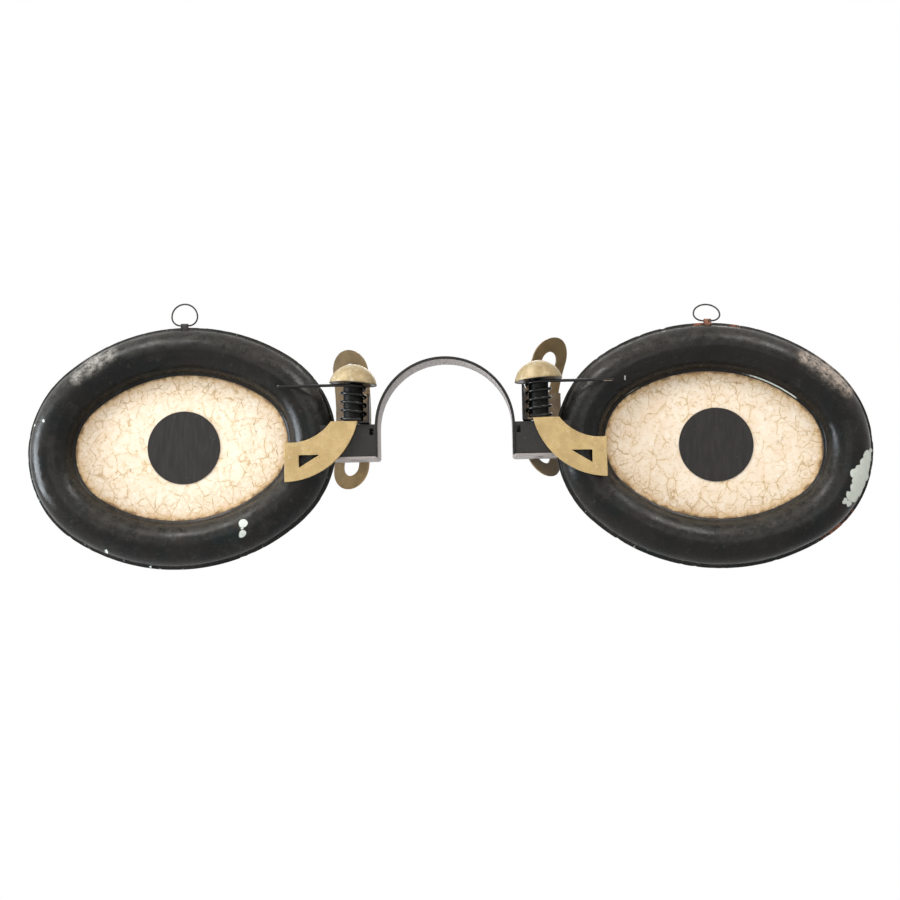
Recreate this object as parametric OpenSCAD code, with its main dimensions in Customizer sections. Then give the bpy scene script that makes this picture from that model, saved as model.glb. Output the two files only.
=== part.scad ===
// Hanging trade sign of an optometrist: a giant pair of sprung pince-nez in painted sheet metal.
// X runs to the viewer's right, Y away from the viewer and Z up. All sizes are in millimetres.

/* [Frames] */
// Length of one frame
frame_len = 339; // [330:1:348]
// Height of one frame
frame_h = 264; // [258:1:272]
// How far a frame's inner end is raised, in degrees
frame_tilt = 4.4; // [0:0.2:6]
// Width and depth of the rounded frame tube
tube_d = 47; // [46:0.5:49]
// Width of the flat seam round the outside of the tube
seam_w = 3; // [2:0.5:4]
// Width of the lip in front of the face's edge
lip_w = 3; // [2:0.5:4]
// Thickness of the pressed sheet
sheet_t = 1.2; // [0.8:0.1:1.5]

/* [Faces] */
// Thickness of the painted face panel
panel_t = 2; // [1.5:0.1:3]
// How far the panel reaches into the tube behind the lip
panel_tuck = 4; // [3:0.5:6]
// Diameter of a pupil
pupil_d = 79.5; // [60:0.5:90]
// Thickness of a pupil's disc
pupil_t = 0.8; // [0.5:0.1:1.2]
// How far both pupils sit to the right of the frames' middles
pupil_shift = 2.5; // [-4:0.5:4]

/* [Hanging rings] */
// Width of a ring, measured on its wire's middle
ring_w = 28.2; // [26:0.2:32]
// Length of the ring's straight stretch in the strap
ring_flat = 9; // [8.5:0.1:10]
// Diameter of the ring's wire
ring_wire = 1.8; // [1.4:0.1:2.4]
// Width of the strap that holds a ring
strap_w = 8; // [6:0.5:8]
// Thickness of the strap's sheet
strap_t = 1; // [0.6:0.1:1.4]
// How far the left ring leans back, in degrees
ring_lean_left = 0; // [0:1:20]
// How far the right ring leans back, in degrees
ring_lean_right = 32; // [0:1:60]
// How far the left ring sits outside the frame's highest point
ring_out_left = 4.5; // [0:0.5:6]
// How far the right ring sits outside the frame's highest point
ring_out_right = 1.5; // [0:0.5:6]

/* [Bridge] */
// Outer radius of the arch
arch_r = 75; // [70:1:85]
// Height of the arch's centre above the frames' middles
arch_z = 20.2; // [12:0.2:24]
// Thickness of the flat bar
bar_t = 3.2; // [2.5:0.1:4]
// Depth of the flat bar, front to back
bar_w = 43; // [40:0.5:43]
// Radius of the outside of the bend at a foot
bend_r = 3; // [1:0.5:3.5]
// Depth of the feet's underside below the frames' middles
foot_drop = 14; // [10:0.5:18]
// Distance from a leg to the frame beside it
foot_reach = 43.2; // [41:0.2:48]
// How far the whole bridge is turned, right side up, in degrees
bridge_tilt = 0.8; // [0:0.1:1.5]

/* [Brackets] */
// Thickness of the bracket's sheet
bracket_t = 1.5; // [1:0.1:1.8]
// Height of the bracket's top edge above the frames' middles
bracket_top = 23.5; // [19:0.5:24]
// How far the flanges stand in from the tube's crest
bracket_inset = 3; // [2.8:0.1:3.6]
// Diameter of a rivet's head
rivet_head_d = 6; // [6:0.5:8]
// Height of a rivet's head
rivet_head_h = 2.2; // [1.5:0.1:3]
// Room between a rivet's head and the edges of the window beside it
rivet_room = 0.5; // [0.3:0.1:1]
// Height of the bracket's edge above the window
window_drop = 4.5; // [3:0.5:5]
// Diameter of a rivet's shank
rivet_d = 4; // [3:0.5:5]

/* [Pivot posts] */
// Distance from the left leg to its post's axis
post_out_left = 23.5; // [23.5:0.5:27]
// Distance from the right leg to its post's axis
post_out_right = 26; // [23.5:0.5:27]
// Distance of the post's axis behind the front crests of the frame tubes
post_inset = 10.5; // [10.3:0.1:11]
// Diameter of the post where the yoke turns on it
post_d = 16; // [12:0.5:17]
// Diameter of the post inside the spring
barrel_d = 21.2; // [18:0.2:21.2]
// Diameter of the stud under the post
stud_d = 8; // [6:0.5:8.5]
// Outer diameter of the spacer round the stud
spacer_d = 11.4; // [10.4:0.2:11.8]
// Diameter of the thrust washer
washer_d = 21; // [18:0.5:21]
// Thickness of the thrust washer
washer_t = 1.2; // [1:0.1:2]
// Diameter of the spigot that the cap's disc sits round
spigot_d = 6; // [4:0.5:8]
// Room for the leaning disc, across the spigot
spigot_room = 1; // [0.8:0.1:2]
// Diameter of the peened head over the disc
peen_d = 12; // [9:0.5:14]
// Height of the peened head
peen_h = 2; // [1:0.1:3]
// Radial clearance of a turning or sliding fit
fit = 0.1; // [0.05:0.05:0.15]
// Running gap between pieces that move past each other
run_gap = 0.3; // [0.2:0.05:0.5]

/* [Levers] */
// Thickness of the yoke's sheet
yoke_t = 2; // [1.5:0.1:2.2]
// Distance from the post's axis to the yoke's side wall, at the front
yoke_in = 18.3; // [18.3:0.1:19.5]
// Distance from the post's axis to the yoke's outer edge
yoke_out = 12; // [11:0.5:13]
// Distance inward from the post's axis to the fold of the yoke's rear wall
fold_in = 13.8; // [13.8:0.1:15]
// Distance of the fold of the yoke's rear wall behind the frame tubes
fold_behind = 11.5; // [11:0.5:14]
// Length of the left yoke's rear wall
rear_wall_left = 46.5; // [44:0.5:52]
// Length of the right yoke's rear wall
rear_wall_right = 52; // [44:0.5:54]
// Turn of the left rear wall and pad from the sign's plane, in degrees
pad_turn_left = 31; // [30:0.5:42]
// Turn of the right rear wall and pad from the sign's plane, in degrees
pad_turn_right = 40.5; // [38:0.5:48]
// Height of the left yoke's walls above the frames' middles
wall_top_left = 56; // [48:0.5:60]
// Height of the right yoke's walls above the frames' middles
wall_top_right = 63.5; // [48:0.5:66]

/* [Finger plates] */
// Thickness of a finger plate
finger_t = 2.5; // [2:0.1:3]
// Distance from the left post's axis to its finger plate's tip
finger_len_left = 73; // [66:0.5:74]
// Distance from the right post's axis to its finger plate's tip
finger_len_right = 70.5; // [66:0.5:74]
// Reach of the left finger plate's top edge inward from the post's axis
finger_in_left = 5.5; // [5:0.1:6.9]
// Reach of the right finger plate's top edge inward from the post's axis
finger_in_right = 6.9; // [5:0.1:6.9]
// Reach of the left finger plate's top edge outward from the post's axis
finger_out_left = 23; // [18:0.5:24]
// Reach of the right finger plate's top edge outward from the post's axis
finger_out_right = 21; // [18:0.5:24]
// Depth of the tip's upper corner below the top edge
tip_drop = 21.5; // [18:0.5:24]
// Depth of the tip's lower corner below the top edge
tip_depth = 64; // [58:0.5:66]
// Radius of the finger plate's upper edge
upper_edge_r = 52.7; // [48:0.1:60]
// Radius of the finger plate's lower edge
lower_edge_r = 81.5; // [76:0.5:90]
// Width of the three-cornered hole
hole_w = 22.2; // [16:0.2:24]
// Height of the three-cornered hole
hole_h = 13.6; // [9:0.2:15]
// Distance from the hole to the tip's edge
hole_edge = 15.4; // [12:0.2:18]
// Depth of the hole's top below the finger plate's top edge
hole_drop = 35.5; // [32:0.5:37]

/* [Nose pads] */
// Length of a nose pad
pad_len = 156; // [140:1:165]
// Width of a nose pad
pad_w = 47.5; // [45:0.5:54]
// Width of the pad's band at its two ends
pad_band = 15; // [12:0.5:18]
// Width of the pad's band at its long sides
pad_side = 13; // [12:0.5:18]
// Radius of the left pad's bend, which carries its two ends away from the nose
pad_bend_left = 300; // [200:5:400]
// Radius of the right pad's bend, which carries its two ends away from the nose
pad_bend_right = 155; // [150:5:300]
// Thickness of the pad's sheet
pad_t = 2; // [1.5:0.1:2.5]
// Distance from the yoke's fold to the left pad's middle
pad_along_left = 24.5; // [18:0.5:28]
// Distance from the yoke's fold to the right pad's middle
pad_along_right = 25; // [22:0.5:31]
// Height of the left pad's middle above the frames' middles
pad_z_left = 35.8; // [30:0.1:46]
// Height of the right pad's middle above the frames' middles
pad_z_right = 45.1; // [36:0.1:48]
// Outward lean of the left pad's top, in degrees
pad_lean_left = 0; // [-4:0.5:9]
// Outward lean of the right pad's top, in degrees
pad_lean_right = 6.5; // [-4:0.5:9]

/* [Springs] */
// Diameter of the spring's wire
wire_d = 3.2; // [3:0.1:3.6]
// Diameter of the coil, measured on its wire's middle
coil_d = 26; // [25.6:0.1:26.4]
// Full turns of the coil
coil_turns = 4; // [3:1:5]
// Height of the spring's long tail above the frames' middles
tail_z = 65.5; // [58:0.5:67]
// How far the left tail runs on past the frame tube's crest
tail_over_left = 8; // [4:0.5:14]
// How far the right tail runs on past the frame tube's crest
tail_over_right = 10.5; // [4:0.5:14]
// Length of the spring's short lower end
stub_len = 9; // [5:0.5:10]

/* [Caps] */
// Diameter of a dome cap
cap_d = 52; // [44:1:54]
// Height of a dome cap
cap_h = 21.7; // [16:0.1:25]
// Thickness of the dome's sheet
cap_t = 1.2; // [0.8:0.1:1.5]
// Height of the cap's rim above the middle of the spring's tail
cap_rise = 2.5; // [2.5:0.1:7]
// How far the cap leans towards the bridge, in degrees
cap_lean = 4.5; // [0:0.5:6]
// Thickness of the disc that closes the cap
disc_t = 1.5; // [1:0.1:2.5]
// Height of the disc's underside above the cap's rim
disc_rise = 0.4; // [0.2:0.1:1.5]

/* [Hidden] */
$fn = 96;
LEFT = -1;
RIGHT = 1;

// Frame outline, a four-centre oval whose arcs' centres are the corners of 3-4-5 triangles
centre_gap = (frame_len - frame_h) / 0.8;
end_out = 0.6 * centre_gap;
side_drop = 0.8 * centre_gap;
end_r = frame_len / 2 - end_out;
side_r = end_r + centre_gap;
tube_r = tube_d / 2;
tube_mid = seam_w + tube_r;
rim_w = seam_w + tube_d + lip_w;
frame_reach = end_out * cos(frame_tilt) + end_r;
frame_top = side_r - side_drop * cos(frame_tilt);
lens_x = arch_r + foot_reach + frame_reach;
end_centre = [lens_x - end_out * cos(frame_tilt), end_out * sin(frame_tilt)];

// Joins between pieces that are soldered or set tight
join_gap = 0.1;
solder_gap = 0.05;

// Ring and strap, round the ring's straight stretch
strap_x = lens_x - side_drop * sin(frame_tilt);
eye_r = ring_wire / 2 + run_gap;
eye_out = eye_r + strap_t;
eye_z = frame_top + eye_out + join_gap;
strap_leg_end = frame_top - seam_w + 2 * join_gap;
ring_top_r = ring_w / 2;
ring_corner_r = ring_top_r - ring_flat / 2;
ring_h = ring_corner_r + ring_top_r;

// Bridge, brackets and posts
foot_z = -foot_drop;
foot_top = foot_z + bar_t;
foot_end = arch_r + foot_reach + tube_mid;
bracket_half = tube_r - bracket_inset;
rivet_y = bracket_half - bracket_t - rivet_head_d / 2 - run_gap;
window_w = rivet_head_h + 4 * rivet_room;
window_h = rivet_head_d + 2 * rivet_room;
rivet_z = bracket_top - window_drop - window_h / 2;
post_y = -(tube_r - post_inset);
fold_back = tube_r - post_y + fold_behind;
washer_top = bracket_top + washer_t;
yoke_z = washer_top + run_gap;
yoke_top = yoke_z + yoke_t;
barrel_z = yoke_top + run_gap;
plate_y = -(tube_r + run_gap);

// Coil from above the yoke to the long tail, twelve rings a turn
coil_r = coil_d / 2;
coil_z = yoke_top + run_gap + wire_d / 2;
coil_steps = 12;
wire_sides = 6;
crest_x = end_centre[0] - sqrt((end_r - tube_mid)^2 - (tail_z - end_centre[1])^2);

// Cap on the post's peened top
cap_z = tail_z + cap_rise;
cap_sphere_r = (cap_d^2 / 4 + cap_h^2) / (2 * cap_h);
cap_sphere_z = cap_h - cap_sphere_r;
disc_top = disc_rise + disc_t;
disc_r = sqrt((cap_sphere_r - cap_t)^2 - (disc_top - cap_sphere_z)^2) - solder_gap;
post_top = cap_z + disc_rise - barrel_d / 2 * tan(cap_lean) - join_gap;
peen_z = cap_z + disc_top + peen_d / 2 * tan(cap_lean) + join_gap;

// The origin is the middle of the whole sign's box
back_y = post_y + fold_back + max(pad_back(LEFT), pad_back(RIGHT));
front_y = post_y - cap_d / 2;
top_z = eye_z + (ring_h + ring_wire / 2) * cos(ring_lean_left);
origin = [0, (front_y + back_y) / 2, (top_z - frame_top) / 2];

// Lengths that differ from left to right
function pick(side, left, right) = side == LEFT ? left : right;
function post_x(side) = arch_r + pick(side, post_out_left, post_out_right);
function tail_x(side) = crest_x + pick(side, tail_over_left, tail_over_right) - post_x(side);
function pad_turn(side) = pick(side, pad_turn_left, pad_turn_right);
function pad_bend_r(side) = pick(side, pad_bend_left, pad_bend_right);
function rear_wall_len(side) = pick(side, rear_wall_left, rear_wall_right);
function pad_along(side) = pick(side, pad_along_left, pad_along_right);
function pad_z(side) = pick(side, pad_z_left, pad_z_right);
function pad_lean(side) = pick(side, pad_lean_left, pad_lean_right);
function wall_top(side) = pick(side, wall_top_left, wall_top_right);
function ring_x(side) = strap_x + pick(side, ring_out_left, ring_out_right);

// Depth that the bend takes from the pad at a distance from its middle
function bend_depth(side, reach) = pad_bend_r(side) - sqrt(pad_bend_r(side)^2 - reach^2);

// Room behind the yoke's flat wall, so that the bent pad just meets the wall's furthest corner
function pad_stand(side) = solder_gap + max([
    for (x = [-pad_along(side), rear_wall_len(side) - pad_along(side)])
        for (z = [yoke_z - pad_z(side), wall_top(side) - pad_z(side)])
            bend_depth(side, abs(x * sin(pad_lean(side)) + z * cos(pad_lean(side))))
]);

// Reach of a pad behind the yoke's fold, at the far side of its band
function pad_back(side) =
    let (rise = sin(abs(pad_lean(side))) * tan(pad_turn(side)))
    (pad_along(side) + pad_w / 2 * cos(pad_lean(side))) * sin(pad_turn(side))
        + (pad_stand(side) + (pad_bend_r(side) + pad_t) * sqrt(1 + rise^2) - pad_bend_r(side)) * cos(pad_turn(side));

function turned(p) = [
    p[0] * cos(bridge_tilt) - p[2] * sin(bridge_tilt),
    p[1],
    p[0] * sin(bridge_tilt) + p[2] * cos(bridge_tilt)
];
echo(origin = origin);
echo(right_post_axis = turned([post_x(RIGHT), post_y, 0]) - origin);
echo(left_post_axis = turned([-post_x(LEFT), post_y, 0]) - origin);
echo(right_eye = [ring_x(RIGHT), 0, eye_z] - origin, left_eye = [-ring_x(LEFT), 0, eye_z] - origin);
echo(lens_x = lens_x, panel_face = [-panel_t / 2 - origin[1], panel_t / 2 - origin[1]]);

black_paint = [0.11, 0.11, 0.12];
cream_paint = [0.91, 0.84, 0.72];
pupil_paint = [0.16, 0.16, 0.17];
gilt = [0.79, 0.68, 0.44];
pale_gilt = [0.85, 0.77, 0.56];
brown_gilt = [0.52, 0.43, 0.29];
wire_black = [0.14, 0.13, 0.13];
rusty_wire = [0.24, 0.19, 0.17];
bare_steel = [0.62, 0.61, 0.62];

// Centre of the circle of radius r through p and q, on the left of the way from p to q
function arc_centre(p, q, r) = (p + q) / 2 + [p[1] - q[1], q[0] - p[0]] / norm(q - p) * sqrt(r^2 - norm(q - p)^2 / 4);

// Puts a shape drawn flat, with Z towards the viewer, at one frame's middle
module at_frame(side) {
    translate([side * lens_x, 0, 0] - origin)
        rotate([0, side * frame_tilt, 0])
            rotate([90, 0, 0])
                children();
}

// Puts a shape drawn for the right-hand side on one side of the bridge
module at_bridge(side) {
    translate(-origin)
        rotate([0, -bridge_tilt, 0])
            if (side == LEFT) mirror([1, 0, 0]) children();
            else children();
}

// The same, with the post's axis as the shape's Z axis
module at_post(side) {
    at_bridge(side)
        translate([post_x(side), post_y, 0])
            children();
}

// Carries a profile, drawn with X as the distance in from the outline, along one arc.
// The arc lies between two rays from its centre.
module along_arc(centre, radius, ray_a, ray_b) {
    reach = 2 * frame_len;
    translate([centre[0], centre[1], 0])
        intersection() {
            rotate_extrude()
                translate([radius, 0])
                    mirror([1, 0])
                        children();
            translate([0, 0, -frame_h])
                linear_extrude(2 * frame_h)
                    polygon([[0, 0], reach * ray_a, reach * ray_b]);
        }
}

module around_frame() {
    for (end = [LEFT, RIGHT]) {
        along_arc([end * end_out, 0], end_r, [end * 0.6, -0.8], [end * 0.6, 0.8]) children();
        along_arc([0, -end * side_drop], side_r, [-0.6, end * 0.8], [0.6, end * 0.8]) children();
    }
}

// The outline drawn in by a distance, as a flat shape
module frame_oval(inset) {
    join_x = end_out + (end_r - inset) * 0.6;
    intersection() {
        translate([0, -side_drop]) circle(side_r - inset);
        translate([0, side_drop]) circle(side_r - inset);
        square([2 * join_x, frame_h], center = true);
    }
    for (end = [LEFT, RIGHT])
        translate([end * end_out, 0]) circle(end_r - inset);
}

// One pressed half of the tube, with its seam flange and its lip over the face panel
module shell_profile() {
    difference() {
        translate([tube_mid, 0]) circle(tube_r);
        translate([tube_mid, 0]) circle(tube_r - sheet_t);
        translate([0, -tube_d]) square([rim_w, tube_d]);
        translate([tube_mid, 0]) square([rim_w, panel_t / 2]);
    }
    square([seam_w + sheet_t / 2, sheet_t]);
    translate([seam_w + tube_d - sheet_t / 2, panel_t / 2])
        square([lip_w + sheet_t / 2, sheet_t]);
}

// The whole tube with its seam, for cutting what is soldered to it
module tube_room() {
    around_frame() {
        translate([tube_mid, 0]) circle(tube_r + join_gap);
        translate([-join_gap, -sheet_t - join_gap])
            square([seam_w + sheet_t, 2 * (sheet_t + join_gap)]);
    }
}

module front_shell(side) {
    color(black_paint) at_frame(side) around_frame() shell_profile();
}

module rear_shell(side) {
    color(black_paint) at_frame(side) mirror([0, 0, 1]) around_frame() shell_profile();
}

module face_panel(side) {
    color(cream_paint)
        at_frame(side)
            translate([0, 0, -panel_t / 2])
                linear_extrude(panel_t)
                    frame_oval(rim_w - lip_w - panel_tuck);
}

// A pupil's disc, flat on the panel's front or rear
module pupil(side, face_z) {
    color(pupil_paint)
        at_frame(side)
            rotate([0, 0, side * frame_tilt])
                translate([pupil_shift, 0, face_z])
                    cylinder(h = pupil_t, d = pupil_d);
}

module front_pupil(side) {
    pupil(side, panel_t / 2);
}

module rear_pupil(side) {
    pupil(side, -panel_t / 2 - pupil_t);
}

// Folded strip of sheet that straddles the seam and holds the ring in its eye
module ring_strap(side) {
    color(rusty_wire)
        translate([side * ring_x(side) - strap_w / 2, 0, 0] - origin)
            rotate([90, 0, 90])
                linear_extrude(strap_w)
                    difference() {
                        union() {
                            translate([0, eye_z]) circle(eye_out);
                            translate([-sheet_t - strap_t, strap_leg_end])
                                square([2 * (sheet_t + strap_t), eye_z - strap_leg_end]);
                        }
                        translate([0, eye_z]) circle(eye_r);
                        translate([-sheet_t, strap_leg_end - 1])
                            square([2 * sheet_t, seam_w + 1]);
                    }
}

module wire_arc(centre, radius, start, angle) {
    translate([centre[0], centre[1], 0])
        rotate([0, 0, start])
            rotate_extrude(angle = angle)
                translate([radius, 0])
                    circle(d = ring_wire);
}

// Wire ring: a straight stretch in the strap, two quarter turns and a half turn over the top
module hanging_ring(side) {
    color(rusty_wire)
        translate([side * ring_x(side), 0, eye_z] - origin)
            rotate([90 - pick(side, ring_lean_left, ring_lean_right), 0, 0]) {
                translate([-ring_flat / 2, 0, 0])
                    rotate([0, 90, 0])
                        cylinder(h = ring_flat, d = ring_wire);
                wire_arc([ring_flat / 2, ring_corner_r], ring_corner_r, -90, 90);
                wire_arc([0, ring_corner_r], ring_top_r, 0, 180);
                wire_arc([-ring_flat / 2, ring_corner_r], ring_corner_r, 180, 90);
            }
}

// Half of the flat bar as seen from the front: a leg and its foot
module bar_side() {
    difference() {
        union() {
            translate([arch_r - bar_t, foot_z]) square([bar_t, arch_z - foot_z]);
            translate([arch_r - bar_t, foot_z]) square([foot_end - arch_r + bar_t, bar_t]);
        }
        translate([arch_r - bar_t, foot_z])
            difference() {
                translate([-1, -1]) square(bend_r + 1);
                translate([bend_r, bend_r]) circle(bend_r);
            }
    }
}

// Flat bar bent into the arch, its two legs and its two feet, which meet the frames' tubes
module bridge_arch() {
    color(black_paint)
        difference() {
            translate(-origin)
                rotate([0, -bridge_tilt, 0])
                    difference() {
                        translate([0, bar_w / 2, 0])
                            rotate([90, 0, 0])
                                linear_extrude(bar_w) {
                                    difference() {
                                        translate([0, arch_z]) circle(arch_r);
                                        translate([0, arch_z]) circle(arch_r - bar_t);
                                        translate([-arch_r, arch_z - arch_r]) square([2 * arch_r, arch_r]);
                                    }
                                    bar_side();
                                    mirror([1, 0]) bar_side();
                                }
                        for (side = [LEFT, RIGHT]) {
                            translate([side * post_x(side), post_y, foot_z - 1])
                                cylinder(h = bar_t + 2, d = stud_d + 2 * fit);
                            for (y = [-rivet_y, rivet_y])
                                translate([side * arch_r, y, rivet_z])
                                    rotate([0, 90, 0])
                                        cylinder(h = 3 * bar_t, d = rivet_d + 2 * fit, center = true);
                        }
                    }
            at_frame(LEFT) tube_room();
            at_frame(RIGHT) tube_room();
        }
}

// Sheet channel between a leg and the frame: a web on the leg, a front and a rear flange
module bracket(side) {
    color(black_paint)
        difference() {
            at_bridge(side)
                difference() {
                    translate([arch_r, -bracket_half, foot_top])
                        cube([foot_end - arch_r, 2 * bracket_half, bracket_top - foot_top]);
                    translate([arch_r + bracket_t, -bracket_half + bracket_t, foot_top - 1])
                        cube([foot_end, 2 * (bracket_half - bracket_t), bracket_top - foot_top + 2]);
                    translate([arch_r + bracket_t, -bracket_half - 1, rivet_z - window_h / 2])
                        cube([window_w, bracket_t + 2, window_h]);
                    for (y = [-rivet_y, rivet_y])
                        translate([arch_r, y, rivet_z])
                            rotate([0, 90, 0])
                                cylinder(h = 3 * bracket_t, d = rivet_d + 2 * fit, center = true);
                }
            at_frame(side) tube_room();
        }
}

// Two rivets through the bracket's web and the leg, flush inside the arch
module bracket_rivets(side) {
    color(black_paint)
        at_bridge(side)
            for (y = [-rivet_y, rivet_y])
                translate([arch_r - bar_t, y, rivet_z])
                    rotate([0, 90, 0]) {
                        cylinder(h = bar_t + bracket_t, d = rivet_d);
                        translate([0, 0, bar_t + bracket_t])
                            cylinder(h = rivet_head_h, d1 = rivet_head_d, d2 = rivet_head_d * 0.6);
                    }
}

// Post: stud through the foot, journal for the yoke, barrel in the spring, head over the cap's disc
module pivot_post(side) {
    color(black_paint)
        at_post(side) {
            translate([0, 0, foot_z + 1]) cylinder(h = peen_z - foot_z, d = spigot_d / 2);
            translate([0, 0, foot_z]) cylinder(h = washer_top - foot_z, d = stud_d);
            translate([0, 0, washer_top]) cylinder(h = post_top - washer_top, d = post_d);
            translate([0, 0, barrel_z]) cylinder(h = post_top - barrel_z, d = barrel_d);
            translate([0, 0, post_top]) cylinder(h = peen_z - post_top, d = spigot_d);
            translate([0, 0, peen_z]) cylinder(h = peen_h, d = peen_d);
        }
}

module post_spacer(side) {
    color(bare_steel)
        at_post(side)
            translate([0, 0, foot_top])
                difference() {
                    cylinder(h = bracket_top - foot_top, d = spacer_d);
                    translate([0, 0, -1]) cylinder(h = bracket_top - foot_top + 2, d = stud_d + 2 * fit);
                }
}

module thrust_washer(side) {
    color(bare_steel)
        at_post(side)
            translate([0, 0, bracket_top])
                difference() {
                    cylinder(h = washer_t, d = washer_d);
                    translate([0, 0, -1]) cylinder(h = washer_t + 2, d = stud_d + 2 * fit);
                }
}

// Yoke that turns on the post: a base, and a folded wall by the bridge and behind, which holds the pad
module lever_yoke(side) {
    front = [-yoke_in, plate_y - post_y];
    fold = [-fold_in, fold_back];
    side_way = unit(fold - front);
    rear_way = [cos(pad_turn(side)), sin(pad_turn(side))];
    rear_end = fold + rear_wall_len(side) * rear_way;
    side_in = yoke_t * [side_way[1], -side_way[0]];
    rear_in = yoke_t * [rear_way[1], -rear_way[0]];
    corner_in = (side_in + rear_in) / (1 + side_in * rear_in / yoke_t^2);
    middle = fold + corner_in / 2;
    back = middle + (yoke_out - middle[0]) * [1, tan(pad_turn(side))];
    color(brown_gilt)
        at_post(side)
            translate([0, 0, yoke_z]) {
                difference() {
                    linear_extrude(yoke_t)
                        polygon([front + [yoke_t / 2, 0], [yoke_out, front[1]], back, middle]);
                    translate([0, 0, -1]) cylinder(h = yoke_t + 2, d = post_d + 2 * fit);
                }
                linear_extrude(wall_top(side) - yoke_z)
                    polygon([front, fold, rear_end, rear_end + rear_in, fold + corner_in, front + side_in]);
            }
}

// Curved lever plate in front of the frame, with its three-cornered hole
module finger_plate(side) {
    tip = pick(side, finger_len_left, finger_len_right);
    reach_in = pick(side, finger_in_left, finger_in_right);
    root_in = [-reach_in, yoke_top];
    root_out = [pick(side, finger_out_left, finger_out_right), yoke_top];
    tip_top = [tip, yoke_top - tip_drop];
    tip_end = [tip, yoke_top - tip_depth];
    hole = [tip - hole_edge, yoke_top - hole_drop];
    color(gilt)
        at_post(side)
            translate([0, plate_y - post_y, 0])
                rotate([90, 0, 0])
                    linear_extrude(finger_t)
                        difference() {
                            intersection() {
                                translate(arc_centre(root_in, tip_end, lower_edge_r)) circle(lower_edge_r);
                                translate([-2 * reach_in, tip_end[1]])
                                    square([tip + 2 * reach_in, tip_depth]);
                            }
                            translate(arc_centre(root_out, tip_top, upper_edge_r)) circle(upper_edge_r);
                            polygon([hole, hole - [hole_w, 0], hole - [0, hole_h]]);
                        }
}

module round_ended(length, width) {
    square([width, length - width], center = true);
    for (end = [-1, 1])
        translate([0, end * (length - width) / 2]) circle(d = width);
}

// Oblong ring soldered behind the yoke's rear wall, its two ends bent forward along a cylinder
module nose_pad(side) {
    front = pad_stand(side);
    radius = pad_bend_r(side);
    color(brown_gilt)
        at_post(side)
            translate([-fold_in, fold_back, 0])
                rotate([0, 0, pad_turn(side)])
                    translate([pad_along(side), 0, pad_z(side)])
                        rotate([0, pad_lean(side), 0])
                            intersection() {
                                translate([0, front + 2 * pad_t, 0])
                                    rotate([90, 0, 0])
                                        linear_extrude(pad_w)
                                            difference() {
                                                round_ended(pad_len, pad_w);
                                                round_ended(pad_len - 2 * pad_band, pad_w - 2 * pad_side);
                                            }
                                translate([0, front - radius, 0])
                                    rotate([0, 90, 0])
                                        difference() {
                                            cylinder(h = 2 * pad_w, r = radius + pad_t, center = true);
                                            cylinder(h = 2 * pad_w + 2, r = radius, center = true);
                                        }
                            }
}

// Stations of the spring's wire, each with its place and its turn about the post
function coil_point(turn, z) = [coil_r * cos(turn), coil_r * sin(turn), z];
coil_stations = [for (i = [0 : coil_turns * coil_steps])
    [coil_point(-90 + i * 360 / coil_steps, coil_z + (tail_z - coil_z) * i / (coil_turns * coil_steps)), 1]];
function wire_stations(side) = concat(
    [[[-stub_len, -coil_r, coil_z], 0]],
    coil_stations,
    [[[tail_x(side), -coil_r, tail_z], 0]]
);
last_station = len(coil_stations) + 1;

function unit(v) = v / norm(v);
function station_turn(i) = i == 0 || i == last_station ? -90 : -90 + (i - 1) * 360 / coil_steps;
function station_way(stations, i) =
    unit(stations[min(i + 1, last_station)][0] - stations[max(i - 1, 0)][0]);
function station_ring(stations, i) =
    let (
        way = station_way(stations, i),
        out = [cos(station_turn(i)), sin(station_turn(i)), 0],
        flat = unit(out - (out * way) * way),
        up = cross(way, flat),
        mitre = stations[i][1] == 1 ? 1 / cos(180 / coil_steps) : 1
    )
    [for (k = [0 : wire_sides - 1])
        stations[i][0] + wire_d / 2 * (mitre * cos(k * 360 / wire_sides) * flat + sin(k * 360 / wire_sides) * up)];

// Least gap of the wire to itself, measured between stations at least half a turn apart
least_gap = min([for (i = [0 : last_station - 2])
    for (j = [i + coil_steps / 2 : 1 : last_station - 2])
        norm(coil_stations[i][0] - coil_stations[j][0]) - wire_d]);
echo(least_spring_gap = least_gap);

// Torsion spring: one unbroken wire with a short lower end and a long tail across the frame
module coil_spring(side) {
    stations = wire_stations(side);
    points = [for (i = [0 : last_station]) each station_ring(stations, i)];
    sides = [for (i = [0 : last_station - 1])
        for (k = [0 : wire_sides - 1])
            let (a = i * wire_sides + k, b = i * wire_sides + (k + 1) % wire_sides)
                each [[a, a + wire_sides, b], [b, a + wire_sides, b + wire_sides]]];
    start_cap = [for (k = [1 : wire_sides - 2]) [0, k, k + 1]];
    end_first = last_station * wire_sides;
    end_cap = [for (k = [1 : wire_sides - 2]) [end_first, end_first + k + 1, end_first + k]];
    color(wire_black)
        at_post(side)
            polyhedron(points = points, faces = concat(start_cap, sides, end_cap));
}

// Puts a shape in the leaning cap, with its rim at Z = 0
module at_cap(side) {
    at_post(side)
        translate([0, 0, cap_z])
            rotate([0, -cap_lean, 0])
                children();
}

module cap_disc(side) {
    color(wire_black)
        at_cap(side)
            translate([0, 0, disc_rise])
                difference() {
                    cylinder(h = disc_t, r = disc_r);
                    translate([0, 0, -1]) cylinder(h = disc_t + 2, d = spigot_d + spigot_room);
                }
}

module dome_cap(side) {
    color(pale_gilt)
        at_cap(side)
            difference() {
                translate([0, 0, cap_sphere_z]) sphere(cap_sphere_r);
                translate([0, 0, cap_sphere_z]) sphere(cap_sphere_r - cap_t);
                translate([-cap_d, -cap_d, -2 * cap_d]) cube(2 * cap_d);
            }
}

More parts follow.
